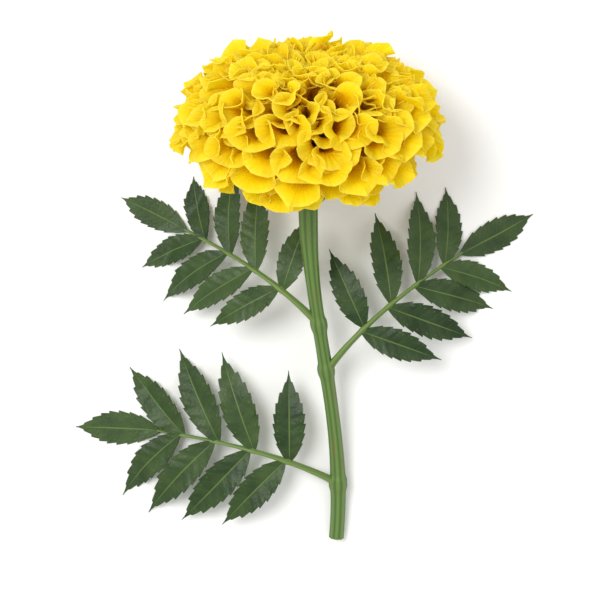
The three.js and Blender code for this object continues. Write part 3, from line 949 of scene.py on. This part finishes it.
def leaflet_grid(droop, draw):
    """One leaflet: its foot at the origin, its length along +Y and its upper side facing +Z."""
    rows = [(number + part) / LEAFLET_TEETH for number in range(LEAFLET_TEETH) for part in TOOTH_ROWS]
    along = np.array([*rows, 0.985, 1.0])[:, None]
    across = np.linspace(-1, 1, LEAFLET_COLUMNS)[None, :]
    taper = 0.85 + 0.7 * smooth(0.55, 1.0, along)  # the tip is drawn out more than the foot
    outline = np.sin(math.pi * np.clip(along, 0.004, 0.996) ** 0.8) ** taper
    half_width = LEAFLET_HALF_WIDTH * np.maximum(outline, mix(0.07, 0.02, along))

    # Teeth fade out towards the foot and the tip, and no two are as deep.
    tooth = (along * LEAFLET_TEETH) % 1 * smooth(0.06, 0.2, along) * smooth(1.02, 0.72, along)
    numbers = (along[:, 0] * LEAFLET_TEETH).astype(int)
    tooth = tooth * draw.uniform(0.75, 1.15, (LEAFLET_TEETH + 1, 1))[numbers]
    edge = np.abs(across) ** 5 * np.sign(across)

    vein = along * LEAFLET_TEETH - 0.85 * np.abs(across) * outline - 0.1
    between = np.abs(across) * (1 - np.abs(across)) * 4 * outline
    bulge = LEAFLET_BULGE * np.cos(2 * math.pi * vein) * between
    wave = LEAFLET_WAVE * across**2 * np.sin(2 * math.pi * (2.2 * along + draw.uniform())) * outline
    curl = draw.uniform(-0.5, 0.5)
    x = across * half_width + edge * TOOTH_DEPTH * tooth + curl * SIDE_CURL * along**2
    y = along * LEAFLET_LENGTH + np.abs(edge) * TOOTH_FORWARD * tooth
    z = leaflet_height(along, droop) + np.abs(across) * half_width * LEAFLET_FOLD - bulge + wave
    return np.stack([x, y, z], axis=-1), curl, along + 0 * across, across + 0 * along, vein


print("rows in a leaflet:", LEAFLET_TEETH * len(TOOTH_ROWS) + 2)

# %% Model the leaflets and their ribs
RIB_SIDES = 8
RIB_STEPS = 20
LEAFLET_RIB = (0.5, 0.12)  # its radius at the foot and at the tip


def leaflet_rib(number, droop, curl):
    """The thin round rib under a leaflet's middle, closed at both ends."""
    way = np.linspace(0, 0.97, RIB_STEPS)[:, None]
    turn = np.linspace(0, 2 * math.pi, RIB_SIDES + 1)[None, :]
    thickness = mix(*LEAFLET_RIB, way)
    x = thickness * np.cos(turn) + curl * SIDE_CURL * way**2
    y = way * LEAFLET_LENGTH + 0 * turn
    z = leaflet_height(way, droop) - 0.75 * thickness + thickness * np.sin(turn)
    ring = np.stack([x, y, z], axis=-1)
    first = ring[:1] * 0 + ring[:1, :-1].mean(axis=1, keepdims=True)
    last = ring[-1:] * 0 + ring[-1:, :-1].mean(axis=1, keepdims=True)
    rows = np.concatenate([first, ring, last])
    everywhere = np.ones(rows.shape[:2])
    return close_seams(sheet_mesh(f"midrib_{number}", rows, along=everywhere, around=everywhere))


leaflets = bpy.data.collections.new("leaflets")
midribs = bpy.data.collections.new("midribs")
for number in range(LEAFLET_KINDS):
    droop = draw.uniform(0.29, 0.38)
    grid, curl, along, across, vein = leaflet_grid(droop, draw)
    blade = sheet_mesh(f"leaflet_{number}", grid, along=along, across=across, vein=vein)
    new_object(blade.name, blade, leaflets)
    new_object(f"midrib_{number}", leaflet_rib(number, droop, curl), midribs)

# %% [markdown]
# ## Setting the leaflets on a leaf
#
# Geometry Nodes set the leaflets out by their number: each two make a pair, and the last one is the tip.
# The number gives the share of the midrib, the angle and the size, and Sample Curve gives the place and
# the direction there. Run once with the blades and once with their ribs, one tree makes both, each rib
# under its own blade.

# %% The place, angle and size of each leaflet
FIRST_PAIR = 0.3  # shares of the midrib
LAST_PAIR = 0.86
TIP_LEAFLET = 0.985
PAIR_SHIFT = -0.012  # the two of a pair aren't quite opposite
FIRST_ANGLE = math.radians(66)
LAST_ANGLE = math.radians(44)


def leaflet_rules(add, number, pairs):
    """Gives the last number and a leaflet's share of the midrib, its angle and its length."""
    last = add(MATH, [pairs, 2.0], "MULTIPLY")
    at_tip = add("FunctionNodeCompare", [number, last], "GREATER_EQUAL", data_type="FLOAT")
    half = add(MATH, [number, 2.0], "DIVIDE")
    pair = add(MATH, [half], "FLOOR")
    gaps = add(MATH, [pairs, 1.0], "SUBTRACT")
    share = add(MATH, [pair, gaps], "DIVIDE")
    odd = add(MATH, [number, 2.0], "MODULO")
    side = add(MATH, [odd, -2.0, 1.0], "MULTIPLY_ADD")
    regular = add(MAP_RANGE, [share, 0.0, 1.0, FIRST_PAIR, LAST_PAIR])
    shifted = add(MATH, [side, PAIR_SHIFT, regular], "MULTIPLY_ADD")
    spread = add(MAP_RANGE, [share, 0.0, 1.0, FIRST_ANGLE, LAST_ANGLE])
    sideways = add(MATH, [side, spread], "MULTIPLY")

    # The middle pairs are the longest, and the leaflet at the tip is as long as they are.
    hump = add(MAP_RANGE, [share, 0.0, 1.0, 0.15 * math.pi, 0.85 * math.pi])
    sine = add(MATH, [hump], "SINE")
    along_pairs = add(MATH, [sine, 0.24, 0.78], "MULTIPLY_ADD")
    return last, *(
        add("GeometryNodeSwitch", {"Switch": at_tip, "False": paired, "True": tip}, input_type="FLOAT")
        for paired, tip in ((shifted, TIP_LEAFLET), (sideways, 0.0), (along_pairs, 1.0))
    )


print("angle of the first pair:", round(math.degrees(FIRST_ANGLE)), "degrees")

# %% The leaf tree
LEAFLET_JITTER = Vector((0.1, 0.12, 0.08))  # radians


def leaf_tree():
    kinds = {"Leaflets": "Collection", "Pairs": "Int", "Size": "Float", "Seed": "Int"}
    tree, add, given, curve = curve_tree("pinnate_leaf", 100, **kinds, Material="Material")
    number = add("GeometryNodeInputIndex")
    last, place, angle, length = leaflet_rules(add, number, given["Pairs"])
    count = add(MATH, [last, 1.0], "ADD")
    chance = {"ID": number, "Seed": given["Seed"]}
    sample = add("GeometryNodeSampleCurve", {"Curves": curve, "Factor": place}, use_all_curves=True).outputs
    points = add("GeometryNodePoints", {"Count": count, "Position": sample["Position"]})

    # Along the midrib, level, and then turned out to its side
    level = add(VECTOR_MATH, [sample["Tangent"], (0, 0, 1)], "CROSS_PRODUCT")
    axes = {"Primary Axis": sample["Tangent"], "Secondary Axis": level}
    with_rib = add("FunctionNodeAxesToRotation", axes, primary_axis="Y", secondary_axis="X")
    back = add(MATH, [angle, -1.0], "MULTIPLY")
    jitter = add(RANDOM, {"Min": -LEAFLET_JITTER, "Max": LEAFLET_JITTER, **chance}, data_type="FLOAT_VECTOR")
    angles = add(VECTOR_MATH, [add(XYZ, {"Z": back}), jitter], "ADD")

    # A short leaflet is a little wider for its length.
    width = add(MATH, [length, 0.5, 0.5], "MULTIPLY_ADD")
    stretch = add(XYZ, [width, length, length])
    scale = add(VECTOR_MATH, {0: stretch, "Scale": given["Size"]}, "SCALE")
    pick = add(RANDOM, {"Min": 0, "Max": LEAFLET_KINDS - 1, **chance}, data_type="INT")
    tone = add(RANDOM, {"Min": 0.0, "Max": 1.0, **chance}, data_type="FLOAT")
    real = set_out(add, points, given["Leaflets"], pick, with_rib, angles, scale, tone=tone)
    end_tree(add, press_down(add, real, LEAFLET_THICKNESS), given["Material"])
    return tree


pinnate = leaf_tree()
print("leaf tree:", len(pinnate.nodes), "nodes")

# %% [markdown]
# ## Leaf skin
#
# The upper side is dark green with a grey bloom of wax and fine paler veins, and the underside is paler
# and dull. A small oil gland shows between each two side veins, near the edge. Both sides come from one
# function: the midrib is where `across` is zero, and a side vein wherever `vein` is a whole number.

# %% The leaf's materials
LEAF_TRANSLUCENCY = 0.15
LEAF_PATCHES = 140.0  # per metre: soft patches about 7 mm wide
LEAF_CELLS = 900.0  # per metre: a leathery grain about 1 mm wide, coarser than real so that it shows
GLAND_PLACE = 0.8  # share of the way from the midrib to the edge
GLAND_RADIUS = 0.3


def leaf_material(name, dark, light, vein_colour, gland_colour, roughness, side_veins):
    # Leaf blade: waxed and a little glossy above, dull below, and thin enough to let some light through.
    material, add = new_material(name)
    place, across, vein, tone = read(add, "across", "vein", "tone")
    patches = add(NOISE, {"Vector": place, "Scale": LEAF_PATCHES, "Detail": 4.0})
    mixed = add(MATH, [tone, 0.4, patches], "MULTIPLY_ADD")
    lighter = add(MAP_RANGE, [mixed, 0.4, 1.0, 0.0, 1.0])

    # Veins
    from_vein = add(MATH, [vein, 0.5], "PINGPONG")
    side_vein = add(MAP_RANGE, [from_vein, 0.07, 0.0, 0.0, side_veins])
    from_middle = add(MATH, [across], "ABSOLUTE")
    midrib = add(MAP_RANGE, [from_middle, 0.07, 0.03, 0.0, 0.85])
    veins = add(MATH, [side_vein, midrib], "MAXIMUM")

    # Glands, by how many millimetres a point is away from where one should be
    inward = add(MATH, [from_middle, GLAND_PLACE], "SUBTRACT")
    to_side = add(MATH, [inward, LEAFLET_HALF_WIDTH], "MULTIPLY")
    between = add(MATH, [0.5, from_vein], "SUBTRACT")
    ahead = add(MATH, [between, LEAFLET_LENGTH / LEAFLET_TEETH], "MULTIPLY")
    away = add(VECTOR_MATH, [add(XYZ, [to_side, ahead])], "LENGTH").outputs["Value"]
    gland = add(MAP_RANGE, [away, GLAND_RADIUS, 0.6 * GLAND_RADIUS, 0.0, 0.8])

    cells = add("ShaderNodeTexVoronoi", {"Vector": place, "Scale": LEAF_CELLS})
    sunk = add(MATH, [veins, -1.5, cells], "MULTIPLY_ADD")
    layers = [(lighter, light), (veins, vein_colour), (gland, gland_colour)]
    skin = {"strength": 0.4, "depth": 0.2, "roughness": roughness, "specular": 0.28}
    skin["thinness"] = LEAF_TRANSLUCENCY
    end_material(add, linear(dark), layers, sunk, **skin)
    return material


TOP_COLOURS = ("#22381a", "#42592d", "#627c3e", "#56683a")
UNDER_COLOURS = ("#566a3c", "#728450", "#93a463", "#8a7440")
LEAF_TOP = leaf_material("waxy_leaf_top", *TOP_COLOURS, roughness=0.42, side_veins=0.12)
LEAF_UNDER = leaf_material("dull_leaf_underside", *UNDER_COLOURS, roughness=0.7, side_veins=0.5)
print("materials:", LEAF_TOP.name, LEAF_UNDER.name)

# %% The way of a leaf
LEAFLET_PAIRS = 4
LEAVES = (
    # name, its joint on the stem, the side it is on, how far it turns off the stem's way up (degrees),
    # the length of its midrib (mm) and the size of its leaflets
    ("leaf_left", 0, -1, 56, 58, 0.9),
    ("leaf_right", 1, 1, 50, 64, 0.96),
    ("leaf_lower", 2, -1, 74, 68, 1.04),
)
RIB_WIDEST = 1.7
RIB_RELIEF = 0.08  # share of the radius
RIB_SPAN = 0.96  # from end to end in a straight line, as a share of its length
RIB_END_HEIGHT = 1.4
RIB_HANDLES = ((-16, 0.34, 10), (10, -0.3, 9))  # their turn (degrees), reach (a share) and rise (mm)
RIB_RADII = [(0.0, 1.0), (0.03, 0.92), (0.07, 0.74), (0.14, 0.67)]
for place in np.linspace(FIRST_PAIR, LAST_PAIR, LEAFLET_PAIRS).round(4):  # it swells at each pair
    base = mix(0.68, 0.34, float(smooth(0, 0.9, place)))
    RIB_RADII += [(place - 0.03, base), (place, base + 0.1), (place + 0.03, base)]
RIB_RADII.append((1.0, 0.3))


def rib_path(joint, side, heading, length):
    """The way of a leaf's midrib: it rises from the stem, arches over and comes down."""

    def towards(degrees):
        return np.array([side * math.sin(math.radians(degrees)), math.cos(math.radians(degrees)), 0])

    start = on_curve(STEM_PATH, [STEM_JOINTS[joint]])[0]
    tip = start + towards(heading) * length * RIB_SPAN
    tip[2] = RIB_END_HEIGHT
    handles = (
        end + towards(heading + turn) * length * reach + np.array([0, 0, rise])
        for end, (turn, reach, rise) in zip((start, tip), RIB_HANDLES)
    )
    return start, *handles, tip


print("leaves:", [leaf[0] for leaf in LEAVES])

# %% The leaves
rib_tube = tube_tree("leaf_midrib", RIB_RADII)
rib_sizes = {"Steps": 120, "Sides": 16, "Widest": RIB_WIDEST * MM}
rib_sizes |= {"Ridges": RIB_RIDGES, "Relief": RIB_RELIEF, "Material": RIB_SKIN}
leaf_pieces = []
for seed, (name, joint, side, heading, length, size) in enumerate(LEAVES):
    ends = curve_ends(rib_path(joint, side, heading, length))
    midrib = grow(rib_tube, name + "_midrib", **ends, **rib_sizes)
    sizes = {"Pairs": LEAFLET_PAIRS, "Size": size, "Seed": seed}
    blades = grow(pinnate, name + "_blades", **ends, **sizes, Leaflets=leaflets, Material=LEAF_TOP)
    blades.data.materials.append(LEAF_UNDER)
    thicken(blades, LEAFLET_THICKNESS, other_side=1)
    ribs = grow(pinnate, name + "_ribs", **ends, **sizes, Leaflets=midribs, Material=RIB_SKIN)
    for piece in (midrib, blades, ribs):
        describe(piece)
        leaf_pieces.append((piece, name, "leaf"))
for collection in (leaflets, midribs):
    remove_sources(collection)

# %% [markdown]
# ## Riding and replacing
#
# Every piece is fixed to the one body of the flower, and the solid that it stands for is hidden.

# %% Tie the pieces to the frame
dressed = [(piece, "bloom", "petals") for piece in petal_pieces]
dressed += [(cup, "involucre", "cup"), (stem, "stem", "stem"), (cut_face, "stem", "stem")]
for piece, node, slot in dressed + leaf_pieces:
    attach(piece, "root")
    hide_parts(node)
print("pieces:", len(dressed + leaf_pieces))

# %% [markdown]
# ## Floor, light and camera
#
# The camera looks down on the flower, with the head at the far end. It leans six degrees towards the
# crown: with the head's own lean, the bloom is seen from 26 degrees above its edge. A long lens keeps
# the head, which stands highest, from looking too large.

# %% The floor
FLOOR_SIZE = 3.0  # metres, from the middle to each side


def make_floor():
    # Matt white board: it gives no reflection, only soft shadows.
    mesh = bpy.data.meshes.new("floor")
    corners = [(x * FLOOR_SIZE, y * FLOOR_SIZE, 0) for x, y in ((-1, -1), (1, -1), (1, 1), (-1, 1))]
    mesh.from_pydata(corners, [], [(0, 1, 2, 3)])
    material, add = new_material("matt_white_board")
    skin = add("ShaderNodeBsdfPrincipled", {"Base Color": linear("#f4f4f2"), "Roughness": 0.8})
    add("ShaderNodeOutputMaterial", [skin])
    mesh.materials.append(material)
    return new_object("floor", mesh)


make_floor()
print("floor:", 2 * FLOOR_SIZE, "m wide")


# %% Lights
def area_light(name, place, size, power):
    data = bpy.data.lights.new(name, "AREA")
    data.shape = "DISK"
    data.size = size
    data.energy = power
    light = new_object(name, data)
    light.location = place
    light.rotation_euler = Vector(place).to_track_quat("Z", "Y").to_euler()


area_light("key_light", (-0.4, 0.3, 1.0), size=0.5, power=8)
area_light("fill_light", (0.7, 0.2, 0.9), size=0.9, power=2)
world = bpy.data.worlds.new("soft_room")
world.use_nodes = True
background = world.node_tree.nodes["Background"].inputs
background["Color"].default_value = linear("#ffffff")
background["Strength"].default_value = 0.75
bpy.context.scene.world = world
bpy.context.scene.view_settings.view_transform = "Standard"
print("lights:", [light.name for light in bpy.data.lights])

# %% Camera
CAMERA_LEAN = math.radians(6)
CAMERA_DISTANCE = 0.75
CAMERA_TARGET = Vector((0, 0.002, 0.03))
camera_data = bpy.data.cameras.new("camera")
camera_data.lens = 135
camera = new_object("camera", camera_data)
towards_camera = Vector((0, math.sin(CAMERA_LEAN), math.cos(CAMERA_LEAN)))
camera.location = CAMERA_TARGET + towards_camera * CAMERA_DISTANCE
camera.rotation_euler = (-CAMERA_LEAN, 0, 0)
bpy.context.scene.camera = camera
print("camera at", [round(part, 3) for part in camera.location])
